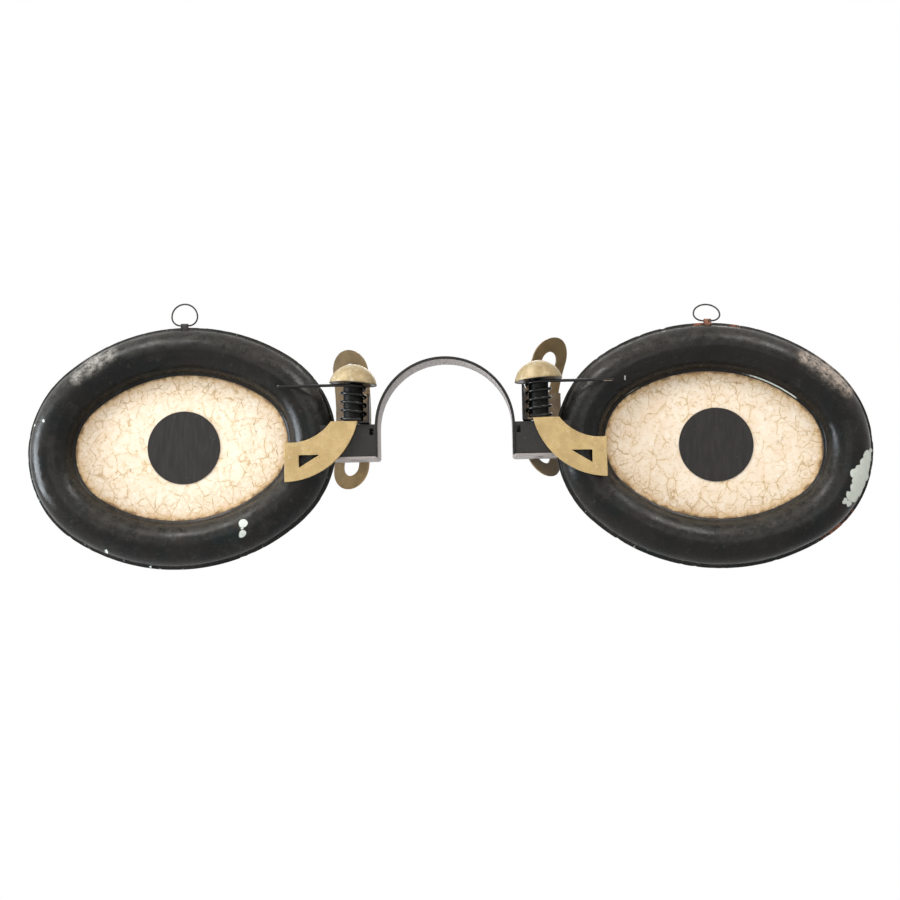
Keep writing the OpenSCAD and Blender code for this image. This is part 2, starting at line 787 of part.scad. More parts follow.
bridge_arch();
front_shell(LEFT);  // left_front_shell
rear_shell(LEFT);  // left_rear_shell
face_panel(LEFT);  // left_face_panel
front_pupil(LEFT);  // left_front_pupil
rear_pupil(LEFT);  // left_rear_pupil
ring_strap(LEFT);  // left_ring_strap
hanging_ring(LEFT);  // left_hanging_ring
bracket(LEFT);  // left_bracket
bracket_rivets(LEFT);  // left_bracket_rivets
pivot_post(LEFT);  // left_pivot_post
post_spacer(LEFT);  // left_post_spacer
thrust_washer(LEFT);  // left_thrust_washer
lever_yoke(LEFT);  // left_lever_yoke
finger_plate(LEFT);  // left_finger_plate
nose_pad(LEFT);  // left_nose_pad
coil_spring(LEFT);  // left_coil_spring
cap_disc(LEFT);  // left_cap_disc
dome_cap(LEFT);  // left_dome_cap
front_shell(RIGHT);  // right_front_shell
rear_shell(RIGHT);  // right_rear_shell
face_panel(RIGHT);  // right_face_panel
front_pupil(RIGHT);  // right_front_pupil
rear_pupil(RIGHT);  // right_rear_pupil
ring_strap(RIGHT);  // right_ring_strap
hanging_ring(RIGHT);  // right_hanging_ring
bracket(RIGHT);  // right_bracket
bracket_rivets(RIGHT);  // right_bracket_rivets
pivot_post(RIGHT);  // right_pivot_post
post_spacer(RIGHT);  // right_post_spacer
thrust_washer(RIGHT);  // right_thrust_washer
lever_yoke(RIGHT);  // right_lever_yoke
finger_plate(RIGHT);  // right_finger_plate
nose_pad(RIGHT);  // right_nose_pad
coil_spring(RIGHT);  // right_coil_spring
cap_disc(RIGHT);  // right_cap_disc
dome_cap(RIGHT);  // right_dome_cap
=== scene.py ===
# Looks of the optometrist's trade sign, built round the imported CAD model.
# Sizes are in millimetres on the CAD source's own axes, with x to the right, y to the back and z up.
# They are turned into the model's metres. Names that end in _m or _M are in metres.
import math

import bpy
from mathutils import Matrix, Vector, noise


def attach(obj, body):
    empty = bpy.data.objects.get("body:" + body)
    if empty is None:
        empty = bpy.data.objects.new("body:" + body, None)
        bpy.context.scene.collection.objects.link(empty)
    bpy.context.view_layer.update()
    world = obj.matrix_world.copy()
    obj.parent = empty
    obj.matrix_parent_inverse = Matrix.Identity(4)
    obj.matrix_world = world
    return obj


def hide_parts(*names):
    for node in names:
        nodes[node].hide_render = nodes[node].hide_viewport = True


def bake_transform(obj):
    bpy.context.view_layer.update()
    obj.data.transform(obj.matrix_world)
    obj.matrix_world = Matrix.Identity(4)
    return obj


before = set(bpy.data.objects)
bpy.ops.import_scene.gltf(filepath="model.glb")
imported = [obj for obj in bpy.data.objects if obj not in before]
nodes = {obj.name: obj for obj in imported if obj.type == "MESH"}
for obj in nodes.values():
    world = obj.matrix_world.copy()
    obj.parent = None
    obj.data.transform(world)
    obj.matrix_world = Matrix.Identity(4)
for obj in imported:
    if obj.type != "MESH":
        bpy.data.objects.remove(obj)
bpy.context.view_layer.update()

MM = 0.001
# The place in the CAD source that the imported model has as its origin
ORIGIN = Vector((0, 15.4796, 13.45))
LEFT = -1
RIGHT = 1
SIDES = {"left": LEFT, "right": RIGHT}

# Frames: a four-centre oval, and the tube's section measured inward from its outer edge
LENS_X = 287.534
TILT = math.radians(4.4)
END_OUT = 56.25
END_R = 113.25
SIDE_DROP = 75.0
SIDE_R = 207.0
CORNER = math.acos(0.6)
SEAM_W = 3.0
SHEET = 1.2
TUBE_R = 23.5
TUBE_MID = 26.5
RIM_W = 53.0
PANEL_T = 2.0
SHELL_STATIONS = 440
PANEL_STATIONS = 240

# Depths at which the tube's round part starts above the seam and ends above the lip
ROUND_FROM = 2.4
ROUND_TO = 5.0
# How far the worn looks of the seam and of the lip reach over the round part
SEAM_FADE = 3.0
LIP_FADE = 9.0

# Dents in the frames: size and depth of each kind of ripple, and the depth they are all sunk by
DENTS = ((42, 0.75), (15, 0.34), (6, 0.12))
DENT_SINK = 0.35
CREASE_INSET = 31.0
CREASE_WIDTH = 1.2
CREASE_DEPTH = 0.45

# Bridge and posts
BRIDGE_TILT = math.radians(-0.8)
ARCH_R = 75.0
ARCH_Z = 20.2
BAR_T = 3.2
BAR_W = 43.0
BAR_EDGE_R = 0.55
FOOT_Z = -14.0
FOOT_END = 144.7
POST_X = {LEFT: 98.5, RIGHT: 101.0}
POST_Y = -13.0

# Springs
WIRE_R = 1.6
WIRE_SIDES = 14
COIL_R = 13.0
COIL_Z = 28.9
COIL_TURNS = 4
TAIL_Z = 65.5
TAIL_END = 79.452
STUB = 9.0
STUB_STEPS = 8
COIL_STEPS = 40 * COIL_TURNS
TAIL_STEPS = 30
# Bare places on the tails, measured back from the tip
LEFT_BARE_TO = 2.5
RIGHT_BARE = (2.0, 11.0)

# Caps
CAP_Z = 68.0
CAP_D = 52.0
CAP_H = 21.7
CAP_LEAN = math.radians(-4.5)
CAP_STATIONS = 72
CAP_DENT_SIZE = 11
CAP_DENT_DEPTH = 0.30
# A ridge runs up each dome; its turn and width are in radians round the cap
RIDGE_H = 0.175
RIDGE_TURN = 1.55 * math.pi
RIDGE_W = 0.05
# Keeps the dented dome inside the size of the CAD one
CAP_INSET = 0.2

# Marks on the frames as seen in the photo: x, z and radius
LEFT_CHIPS = [
    (-433.6, 28.4, 1.6), (-446.1, 24.7, 1.2), (-215.7, -83.0, 4.4), (-216.6, -88.5, 1.4),
    (-216.1, -93.6, 3.4), (-218.5, -95.5, 2.0), (-364.8, -111.9, 2.0), (-320.0, -129.0, 1.6),
    (-266.0, -131.0, 1.5), (-222.0, -122.6, 1.6), (-198.5, -116.0, 1.4),
]
# The worn patches are wear that is also lightened into a painted highlight where the lamps catch the tubes
LEFT_WORN_AND_SHEEN = [(-364.0, 101.0, 4.0), (-376.0, 95.0, 7.0), (-386.0, 88.0, 8.0), (-398.0, 77.0, 4.0)]
RIGHT_CHIPS = [
    (452.5, -8.0, 3.0), (448.0, -15.0, 6.5), (445.0, -23.0, 8.0), (443.0, -33.0, 8.0),
    (437.0, -30.0, 6.0), (430.5, -33.0, 4.5), (434.0, -41.0, 5.5), (430.5, -49.0, 5.0),
    (426.0, -56.0, 4.5), (421.0, -62.0, 3.0), (440.0, -42.0, 6.5), (437.0, -51.0, 5.5),
    (431.5, -58.5, 5.0), (425.5, -64.0, 3.5), (192.3, 69.2, 0.9), (192.1, 71.0, 0.9),
    (378.0, -117.0, 1.6),
]
RIGHT_WORN_AND_SHEEN = [
    (384.0, 92.0, 4.0), (395.0, 86.0, 7.0), (407.0, 78.0, 9.0), (418.0, 68.0, 9.0), (427.0, 58.0, 5.0),
]
RIGHT_RUST = [
    (406.9, -95.5, 9.0), (418.7, -87.5, 8.0), (429.0, -76.5, 7.0), (311.6, 130.5, 5.0),
    (274.1, 131.6, 6.0), (282.0, 132.0, 5.0),
]
RIGHT_BRIGHT_LIP = [
    (331.2, 76.6, 9.0), (343.0, 72.0, 9.0), (353.5, 66.8, 9.0), (364.0, 60.0, 9.0),
    (374.7, 51.7, 8.0), (206.0, 50.0, 9.0),
]
# Guessed, as the photo doesn't show the back
REAR_CHIPS = [(-150, -40, 3.0), (395, 70, 3.5)]

# Networks of cracks in the cream: cells per metre, stretch, half the line's width in millimetres,
# the noise between which the network fades in, and strength
CRACK_NETWORKS = (
    (64.0, (1.0, 1.0, 0.7), 0.54, 0.42, 0.56, 0.68),
    (120.0, (0.7, 1.0, 1.0), 0.36, 0.48, 0.60, 0.52),
    (230.0, (1.0, 1.0, 0.8), 0.26, 0.50, 0.62, 0.34),
)

# Colours, as linear red, green and blue
WHITE = (1, 1, 1)
FLOOR_GREY = (0.86, 0.86, 0.86)
ENAMEL_WARM = (0.0110, 0.0095, 0.0080)
ENAMEL_BLACK = (0.0055, 0.0058, 0.0054)
ENAMEL_COOL = (0.0055, 0.0092, 0.0088)
ENAMEL_CLOUD = (0.026, 0.023, 0.0195)
ENAMEL_SPECK = (0.046, 0.041, 0.036)
# Dust on upward faces, laid on light enough to be painted light from above too
TOP_DUST_AND_LIGHT = (0.050, 0.045, 0.038)
# Colours of the worn patches, light enough to serve as painted highlights too
WORN_AND_SHEEN_LEFT = (0.37, 0.34, 0.305)
WORN_AND_SHEEN_RIGHT = (0.56, 0.46, 0.38)
ZINC_DARK = (0.45, 0.48, 0.43)
ZINC_LIGHT = (0.58, 0.60, 0.54)
FRAME_RUST = (0.24, 0.085, 0.045)
GREYED_BLACK = (0.034, 0.032, 0.029)
SCUFF = (0.12, 0.115, 0.11)
POST_DARK = (0.0045, 0.0042, 0.0040)
POST_LIGHT = (0.0120, 0.0110, 0.0100)
BAR_DARK = (0.228, 0.199, 0.185)
BAR_LIGHT = (0.313, 0.284, 0.270)
BAR_STAIN = (0.12, 0.10, 0.09)
CREAM_DEEP = (0.720, 0.580, 0.438)
CREAM = (0.775, 0.668, 0.540)
CREAM_PALE = (0.815, 0.750, 0.672)
CREAM_SMEAR = (0.66, 0.49, 0.29)
CRACK = (0.45, 0.30, 0.13)
CRACK_BY_LIP = (0.33, 0.185, 0.075)
CRACK_HALO = (0.70, 0.51, 0.27)
DEEP_CRACK = (0.20, 0.115, 0.065)
LIP_BROWN = (0.56, 0.345, 0.135)
LIP_DARK = (0.17, 0.095, 0.045)
PUPIL_DARK = (0.0175, 0.0155, 0.0140)
PUPIL_LIGHT = (0.026, 0.0235, 0.0215)
PUPIL_SPECK = (0.12, 0.10, 0.085)
GOLD_RUBBED = (0.78, 0.72, 0.60)
YOKE_DARK = (0.115, 0.080, 0.052)
YOKE_LIGHT = (0.185, 0.135, 0.085)
DIRT_AND_SHADE = (0.05, 0.035, 0.025)
CAP_DARK = (0.285, 0.205, 0.095)
CAP_LIGHT = (0.400, 0.315, 0.180)
CAP_RUBBED = (0.62, 0.58, 0.49)
CAP_DIRT = (0.17, 0.110, 0.045)
SPRING_DARK = (0.004, 0.0038, 0.0038)
SPRING_LIGHT = (0.010, 0.009, 0.0085)
SPRING_FLECK = (0.20, 0.18, 0.17)
WIRE_DARK = (0.013, 0.012, 0.011)
WIRE_LIGHT = (0.040, 0.034, 0.030)
STEEL_DARK = (0.13, 0.12, 0.115)
STEEL_LIGHT = (0.27, 0.255, 0.245)

# Light and camera
LAMP_WHITE = (1.0, 0.985, 0.965)
FLOOR_Z_M = -1.0
FLOOR_R_M = 6.0
FLOOR_CORNERS = 64
# The floor keeps part of its shadow up to the first distance from the middle and is all white from the second
FLOOR_FADE_M = (1.3, 2.1)
FLOOR_WHITE_SHARE = 0.75
EYE = Vector((60.0, -1485.0, -127.0))
EYE_YAW = math.radians(2.1420)
EYE_PITCH = math.radians(90 + 4.7312)
EYE_ROLL = math.radians(-0.1831)
EYE_LENS = 55.206
EYE_SENSOR = 36.0


def turned(x, z, angle):
    """A point turned about Y, as the CAD source turns it."""
    return x * math.cos(angle) + z * math.sin(angle), z * math.cos(angle) - x * math.sin(angle)


def on_frame(side, a, b, depth):
    """A point of one frame: a along it, b up it and depth towards the viewer."""
    x, z = turned(a, b, side * TILT)
    return (Vector((x + side * LENS_X, -depth, z)) - ORIGIN) * MM


def on_bridge(x, y, z):
    """A point of the bridge, which hangs a little askew."""
    x, z = turned(x, z, BRIDGE_TILT)
    return (Vector((x, y, z)) - ORIGIN) * MM


def on_post(side, x, y, z):
    """A point given from the right-hand post's axis, for either side."""
    return on_bridge(side * (x + POST_X[side]), y + POST_Y, z)


def in_cap(side, x, y, z):
    """A point given from the middle of the cap's base, in the cap's own lean."""
    x, z = turned(x, z, CAP_LEAN)
    return on_post(side, x, y, z + CAP_Z)


def ripple(point, size, seed=0.0):
    """Smooth noise from -1 to 1 whose features are about size millimetres."""
    return noise.noise(Vector(point) / size + Vector((seed, seed * 0.7, seed * 1.3)))


# Paints

class Shader:
    """The nodes of one material or world; a pattern is looked up at a vector, by default the place itself."""

    def __init__(self, owner, coordinates="Object"):
        self.owner = owner
        owner.use_nodes = True
        self.tree = owner.node_tree
        self.tree.nodes.clear()
        self.place = self.put("ShaderNodeTexCoord").outputs[coordinates]

    def put(self, kind, values=None, **settings):
        """Adds a node; a value that is a socket is linked, any other is set."""
        node = self.tree.nodes.new(kind)
        for key, value in settings.items():
            setattr(node, key, value)
        for key, value in (values or {}).items():
            if isinstance(value, bpy.types.NodeSocket):
                self.tree.links.new(value, node.inputs[key])
            else:
                node.inputs[key].default_value = value
        return node

    def calc(self, operation, a, b=0.0):
        return self.put("ShaderNodeMath", {0: a, 1: b}, operation=operation).outputs[0]

    def plus(self, a, b):
        return self.calc("ADD", a, b)

    def minus(self, a, b):
        return self.calc("SUBTRACT", a, b)

    def times(self, first, *others):
        for other in others:
            first = self.calc("MULTIPLY", first, other)
        return first

    def largest(self, first, *others):
        for other in others:
            first = self.calc("MAXIMUM", first, other)
        return first

    def jagged(self, value, noise_value, amount):
        """The value moved up and down by noise, by half the amount each way."""
        return self.plus(value, self.times(self.minus(noise_value, 0.5), amount))

    def spread(self, value, low, high, to_low=0.0, to_high=1.0):
        """Smoothly maps a range of values to another."""
        return self.put("ShaderNodeMapRange", {
            "Value": value, "From Min": low, "From Max": high, "To Min": to_low, "To Max": to_high,
        }, interpolation_type="SMOOTHSTEP").outputs["Result"]

    def grain(self, size_mm, detail=3.0, rough=0.55, at=None, distortion=0.0):
        """Noise from 0 to 1 with features of about size_mm."""
        return self.put("ShaderNodeTexNoise", {
            "Vector": self.place if at is None else at, "Scale": 1000 / size_mm, "Detail": detail,
            "Roughness": rough, "Distortion": distortion,
        }).outputs["Fac"]

    def patches(self, size_mm, low, high, detail=3.0, rough=0.55, at=None):
        """0 where that noise is under low and 1 where it is over high."""
        return self.spread(self.grain(size_mm, detail, rough, at), low, high)

    def cells(self, per_metre, at):
        """The distance from the edges of irregular cells, as a share of a cell."""
        return self.put("ShaderNodeTexVoronoi", {"Vector": at, "Scale": per_metre},
                        feature="DISTANCE_TO_EDGE").outputs["Distance"]

    def mix(self, under, over, share, strength=1.0):
        """Colour under with colour over laid on it, by share times strength."""
        if strength != 1.0:
            share = self.times(share, strength)
        full = [c if isinstance(c, bpy.types.NodeSocket) else (*c, 1.0) for c in (under, over)]
        return self.put("ShaderNodeMix", {0: share, 6: full[0], 7: full[1]}, data_type="RGBA").outputs[2]

    def attribute(self, name):
        return self.put("ShaderNodeAttribute", attribute_name=name).outputs["Fac"]

    def axis(self, vector, letter):
        return self.put("ShaderNodeSeparateXYZ", {0: vector}).outputs[letter]

    def vector_calc(self, operation, values):
        return self.put("ShaderNodeVectorMath", values, operation=operation)

    def mapped(self, at, scale, turn=(0, 0, 0)):
        return self.put("ShaderNodeMapping", {"Vector": at, "Scale": scale, "Rotation": turn}).outputs[0]

    def from_front(self, at):
        """The same place without its depth, so that a pattern runs straight through from front to back."""
        return self.vector_calc("MULTIPLY", {0: at, 1: (1, 0, 1)}).outputs[0]

    def warped(self, size_mm, amount_mm, at=None):
        """The place moved about by noise, so that what is drawn there has uneven edges."""
        start = self.place if at is None else at
        wander = self.put("ShaderNodeTexNoise", {"Vector": start, "Scale": 1000 / size_mm, "Detail": 3.0})
        centred = self.vector_calc("SUBTRACT", {0: wander.outputs["Color"], 1: (0.5, 0.5, 0.5)}).outputs[0]
        moved = self.vector_calc("SCALE", {0: centred, 3: 2 * amount_mm * MM}).outputs[0]
        return self.vector_calc("ADD", {0: start, 1: moved}).outputs[0]

    def spots(self, places, edge_mm, at=None):
        """1 inside the listed discs seen from the front, 0 outside, with a soft edge."""
        flat = self.from_front(self.place if at is None else at)
        total = 0.0
        for x, z, radius in places:
            centre = ((x - ORIGIN.x) * MM, 0, (z - ORIGIN.z) * MM)
            away = self.vector_calc("DISTANCE", {0: flat, 1: centre}).outputs["Value"]
            disc = self.spread(away, (radius + edge_mm) * MM, max(radius - edge_mm, 0) * MM)
            total = self.largest(total, disc)
        return total

    def seen_directly(self):
        """1 for a ray that carries the picture: from the camera, off a glossy surface or through glass."""
        ray = self.put("ShaderNodeLightPath")
        return self.largest(ray.outputs["Is Camera Ray"], ray.outputs["Is Glossy Ray"],
                            ray.outputs["Is Transmission Ray"])

    def finish(self, colour, rough, height, bump_mm, specular, metallic=0.0):
        """The surface shader, with its bump from a height of 0 to 1; returns the material."""
        bump = self.put("ShaderNodeBump", {"Height": height, "Distance": bump_mm * MM, "Strength": 1.0})
        surface = self.put("ShaderNodeBsdfPrincipled", {
            "Base Color": colour, "Roughness": rough, "Metallic": metallic, "Normal": bump.outputs["Normal"],
        })
        surface.inputs["Specular IOR Level"].default_value = specular
        self.put("ShaderNodeOutputMaterial", {"Surface": surface.outputs[0]})
        return self.owner


def start_paint(name):
    return Shader(bpy.data.materials.new(name))


def enamel(paint):
    """Old black enamel: its colour, its roughness and its height."""
    colour = paint.mix(ENAMEL_WARM, ENAMEL_BLACK, paint.patches(60, 0.38, 0.62))
    colour = paint.mix(colour, ENAMEL_COOL, paint.patches(30, 0.54, 0.74))
    colour = paint.mix(colour, ENAMEL_CLOUD, paint.patches(26, 0.50, 0.78, 5.0, 0.7), 0.7)
    colour = paint.mix(colour, ENAMEL_SPECK, paint.patches(7, 0.56, 0.80, 5.0, 0.75))
    rough = paint.spread(paint.grain(20, 4.0, 0.65), 0.3, 0.7, 0.24, 0.40)
    height = paint.plus(paint.times(paint.grain(12, 2.0), 0.8), paint.times(paint.grain(2.8), 0.42))
    return colour, rough, height


def frame_paint(name, chips, worn=(), worn_and_sheen_colour=WORN_AND_SHEEN_LEFT, rust=(), bright_lip=()):
    """Enamel on a frame: dusty and painted lighter on top as painted light from above, worn in places with
    the wear lightened into painted highlights, rusty in places, and chipped to the bare zinc.
    """
    paint = start_paint(name)
    colour, rough, height = enamel(paint)
    rim = paint.attribute("rim")

    facing_up = paint.axis(paint.put("ShaderNodeNewGeometry").outputs["Normal"], "Z")
    mottled = paint.times(paint.spread(paint.grain(9, 5.0, 0.75), 0.36, 0.66, 0.35, 1.0),
                          paint.spread(paint.grain(2.6, 3.0, 0.6), 0.32, 0.62, 0.5, 1.0))
    # Enamel facing up is painted lighter, partly dust and partly painted light from above
    dust_and_top_light = paint.times(paint.spread(facing_up, -0.15, 0.55, 0.0, 0.8), mottled)
    colour = paint.mix(colour, TOP_DUST_AND_LIGHT, dust_and_top_light)
    rough = paint.plus(rough, paint.times(dust_and_top_light, 0.22))

    # The worn patches are wear and painted highlight together
    crackle = paint.spread(paint.cells(190.0, paint.warped(9, 2.2)), 0.0, 0.07)
    worn_and_sheen_tint = paint.mix([0.3 * part for part in worn_and_sheen_colour], worn_and_sheen_colour, crackle)
    worn_and_sheen_here = paint.times(paint.spots(worn, 9), paint.patches(7, 0.34, 0.58, 6.0, 0.75))
    colour = paint.mix(colour, worn_and_sheen_tint, worn_and_sheen_here, 0.8)

    chipped = paint.spots(chips, 0.5, paint.warped(6, 2.6))
    bright = paint.times(paint.spots(bright_lip, 5), paint.spread(paint.attribute("lip"), 0.90, 0.99),
                         paint.patches(22, 0.40, 0.50, 3.0, 0.5))
    nicked = paint.times(rim, paint.patches(8, 0.62, 0.68, 5.0, 0.75))
    bare = paint.largest(chipped, bright, nicked)
    colour = paint.mix(colour, paint.mix(ZINC_DARK, ZINC_LIGHT, paint.grain(5)), bare)

    rusty = paint.times(paint.spots(rust, 4), rim, paint.patches(4, 0.42, 0.58, 3.0, 0.7))
    colour = paint.mix(colour, FRAME_RUST, rusty)
    rough = paint.spread(paint.plus(rough, paint.times(bare, 0.3)), 0.0, 1.0)
    height = paint.minus(height, paint.times(bare, 0.7))
    return paint.finish(colour, rough, height, 0.34, specular=0.15)


def plain_enamel():
    """The greyed enamel of the brackets, their rivets and the discs that close the caps."""
    paint = start_paint("plain_black_paint")
    colour, rough, height = enamel(paint)
    colour = paint.mix(colour, GREYED_BLACK, 0.65)
    colour = paint.mix(colour, SCUFF, paint.patches(5, 0.60, 0.68, 6.0, 0.8), 0.45)
    return paint.finish(colour, rough, height, 0.15, specular=0.14)


def post_paint():
    """Dull black on the posts, painted darker than the other enamel as painted shade from the caps above."""
    paint = start_paint("post_paint")
    colour = paint.mix(POST_DARK, POST_LIGHT, paint.patches(5, 0.35, 0.65, 4.0, 0.7))
    rough = paint.spread(paint.grain(4), 0.3, 0.7, 0.42, 0.58)
    return paint.finish(colour, rough, paint.grain(3), 0.10, specular=0.10)


def bar_paint():
    """The flat bar: enamel outside, greyed bare metal inside the arch and along the feet's front edge."""
    paint = start_paint("bar_paint")
    colour, _, height = enamel(paint)
    bare = paint.spread(paint.jagged(paint.attribute("bare"), paint.grain(6, 4.0, 0.7), 0.5), 0.42, 0.58)
    grey = paint.mix(BAR_DARK, BAR_LIGHT, paint.grain(30, 4.0, 0.6))
    grey = paint.mix(grey, BAR_STAIN, paint.patches(8, 0.60, 0.74, 5.0, 0.7))
    colour = paint.mix(colour, grey, bare)
    return paint.finish(colour, paint.spread(bare, 0, 1, 0.32, 0.5), height, 0.12, specular=0.22)


def crack_networks(paint, flat, bent, near_lip):
    """The networks of fine cracks and the brown halo round them."""
    lines = 0.0
    halo = 0.0
    for per_metre, stretch, half_mm, low, high, strength in CRACK_NETWORKS:
        cell_mm = 1000 / per_metre
        half_width = half_mm / cell_mm
        laid = paint.mapped(bent, stretch)
        away = paint.cells(per_metre, laid)
        # A network comes and goes in clouds, more of them near the lip, and its lines have gaps
        cloud = paint.grain(0.5 * cell_mm + 8, 4.0, 0.65, flat)
        here = paint.spread(paint.plus(cloud, paint.times(near_lip, 0.09)), low, high)
        here = paint.times(here, paint.patches(0.52 * cell_mm + 1.5, 0.38, 0.52, 3.0, 0.7, laid))
        line = paint.times(paint.spread(away, half_width, half_width * 0.3), here, strength)
        lines = paint.largest(lines, line)
        halo = paint.largest(halo, paint.times(paint.spread(away, half_width * 5, 0), here))
    return lines, halo


def cream_paint():
    """Cream paint, crackled all over and browned along the lip."""
    paint = start_paint("cream_paint")
    from_lip = paint.attribute("edge")
    flat = paint.from_front(paint.place)

    clouds = paint.grain(30, 5.0, 0.65, flat)
    colour = paint.mix(CREAM_DEEP, CREAM, paint.spread(clouds, 0.3, 0.7))
    colour = paint.mix(colour, CREAM_PALE, paint.patches(10, 0.50, 0.70, 5.0, 0.7, flat), 0.6)
    slanted = paint.mapped(flat, (1.0, 1.0, 3.0), (0, 0.5, 0))
    smears = paint.spread(paint.grain(20, 5.0, 0.65, slanted, distortion=0.6), 0.54, 0.76)
    colour = paint.mix(colour, CREAM_SMEAR, smears, 0.42)

    bent = paint.warped(16, 5.0, flat)
    near_lip = paint.spread(from_lip, 45, 0)
    lines, halo = crack_networks(paint, flat, bent, near_lip)
    colour = paint.mix(colour, CRACK_HALO, halo, 0.42)
    colour = paint.mix(colour, paint.mix(CRACK, CRACK_BY_LIP, near_lip), lines)

    upright = paint.mapped(bent, (1.0, 1.0, 0.3))
    contour = paint.calc("ABSOLUTE", paint.minus(paint.grain(9, 3.0, 0.6, upright), 0.5))
    deep = paint.times(paint.spread(contour, 0.012, 0.004), paint.patches(22, 0.60, 0.66, 4.0, 0.65, flat))
    colour = paint.mix(colour, DEEP_CRACK, deep, 0.7)

    ragged = paint.jagged(from_lip, paint.grain(10, 5.0, 0.7, flat), 16.0)
    colour = paint.mix(colour, LIP_BROWN, paint.spread(ragged, 10, 0, 0, 0.70))
    colour = paint.mix(colour, LIP_DARK, paint.spread(ragged, 2.8, -0.2, 0, 0.85))

    height = paint.minus(paint.times(paint.grain(30, at=flat), 0.9),
                        paint.times(paint.largest(lines, deep), 0.4))
    return paint.finish(colour, paint.spread(clouds, 0.3, 0.7, 0.50, 0.62), height, 0.35, specular=0.3)


def pupil_paint():
    """Matt black with upright brush marks and a few pale specks."""
    paint = start_paint("pupil_paint")
    strokes = paint.mapped(paint.place, (6.0, 1.0, 1.0))
    colour = paint.mix(PUPIL_DARK, PUPIL_LIGHT, paint.patches(22, 0.3, 0.7, 4.0, 0.6, strokes))
    colour = paint.mix(colour, PUPIL_SPECK, paint.patches(3.2, 0.70, 0.78, 2.0), 0.5)
    return paint.finish(colour, 0.62, paint.grain(9, at=strokes), 0.08, specular=0.20)


def gold_paint(name, light, dark, speck, rubbed_share, metallic, painted_light_gain=1.0):
    """Gold paint: cloudy, specked with dirt, rubbed paler, and made the given gain times as light low down,
    as painted light where the lower part is shaded.
    """
    paint = start_paint(name)
    colour = paint.mix(dark, light, paint.patches(16, 0.3, 0.7, 4.0, 0.65))
    colour = paint.mix(colour, speck, paint.patches(1.7, 0.58, 0.72, 3.0, 0.6), 0.45)
    colour = paint.mix(colour, GOLD_RUBBED, paint.patches(5, 0.56, 0.72, 5.0, 0.7), rubbed_share)
    # Painted light: the lower part is lightened to make up for the shade that falls on it
    if painted_light_gain > 1:
        painted_lighter = paint.vector_calc("SCALE", {0: colour, 3: painted_light_gain}).outputs[0]
        painted_light_low_down = paint.spread(paint.axis(paint.place, "Z"), 30 * MM, -50 * MM)
        colour = paint.mix(colour, painted_lighter, painted_light_low_down)
    rough = paint.spread(paint.grain(8, 4.0, 0.7), 0.3, 0.7, 0.42, 0.60)
    return paint.finish(colour, rough, paint.grain(3, 4.0, 0.7), 0.10, specular=0.4, metallic=metallic)


def yoke_paint():
    """Brown gold on the rear wall, black on the side wall by the bridge and on the base."""
    paint = start_paint("yoke_paint")
    brown = paint.mix(YOKE_DARK, YOKE_LIGHT, paint.patches(12, 0.35, 0.65, 4.0, 0.65))
    brown = paint.mix(brown, DIRT_AND_SHADE, paint.patches(1.8, 0.58, 0.72, 3.0, 0.6), 0.5)
    black_colour, _, height = enamel(paint)
    middle = (POST_X[RIGHT] - POST_X[LEFT]) / 2 * MM
    from_middle = paint.calc("ABSOLUTE", paint.minus(paint.axis(paint.place, "X"), middle))
    past_side_wall = paint.spread(from_middle, 86.6 * MM, 87.6 * MM)
    above_base = paint.spread(paint.axis(paint.place, "Z"), 12.0 * MM, 14.5 * MM)
    rear_wall = paint.times(past_side_wall, above_base)
    colour = paint.mix(black_colour, brown, rear_wall)
    return paint.finish(colour, paint.spread(rear_wall, 0, 1, 0.35, 0.5), height, 0.10, specular=0.25)


def cap_paint():
    """Pale gold on the caps, rubbed white at the crown, and painted dark inside and under the rim as painted
    shade.
    """
    paint = start_paint("cap_paint")
    streaks = paint.mapped(paint.place, (1.0, 1.0, 0.35))
    colour = paint.mix(CAP_DARK, CAP_LIGHT, paint.patches(9, 0.3, 0.7, 4.0, 0.65, streaks))
    rubbed = paint.times(paint.attribute("crown"), paint.patches(6, 0.35, 0.6, 4.0, 0.7))
    colour = paint.mix(colour, CAP_RUBBED, rubbed, 0.6)
    colour = paint.mix(colour, CAP_RUBBED, paint.patches(3.5, 0.58, 0.70, 4.0, 0.7, streaks), 0.6)
    colour = paint.mix(colour, CAP_DIRT, paint.patches(3, 0.54, 0.70, 5.0, 0.7), 0.6)
    # Painted shade: the dome's inside and the underside of its rim are painted dark all over
    colour = paint.mix(colour, DIRT_AND_SHADE, paint.attribute("under"))
    rough = paint.spread(paint.grain(6), 0.3, 0.7, 0.42, 0.58)
    return paint.finish(colour, rough, paint.grain(4, 4.0, 0.7), 0.12, specular=0.4, metallic=0.2)


def spring_paint(name, bare_colour):
    """Glossy black wire, bare or gilded where the bare attribute says so."""
    paint = start_paint(name)
    colour = paint.mix(SPRING_DARK, SPRING_LIGHT, paint.patches(6, 0.3, 0.7, 4.0, 0.7))
    colour = paint.mix(colour, SPRING_FLECK, paint.patches(2.6, 0.67, 0.73, 3.0, 0.6), 0.3)
    bare = paint.spread(paint.jagged(paint.attribute("bare"), paint.grain(2), 0.8), 0.45, 0.6)
    colour = paint.mix(colour, bare_colour, bare)
    return paint.finish(colour, 0.28, paint.grain(2.2), 0.06, specular=0.28)


def old_wire(name, rust_from, rust_colour):
    """Dark oxidised wire or strip, with rust where the noise passes rust_from."""
    paint = start_paint(name)
    colour = paint.mix(WIRE_DARK, WIRE_LIGHT, paint.patches(5, 0.35, 0.65, 4.0, 0.7))
    rust = paint.patches(9, rust_from, rust_from + 0.09, 5.0, 0.75)
    colour = paint.mix(colour, rust_colour, rust, 0.85)
    return paint.finish(colour, 0.5, paint.grain(1.6, 4.0, 0.7), 0.08, specular=0.3, metallic=0.2)


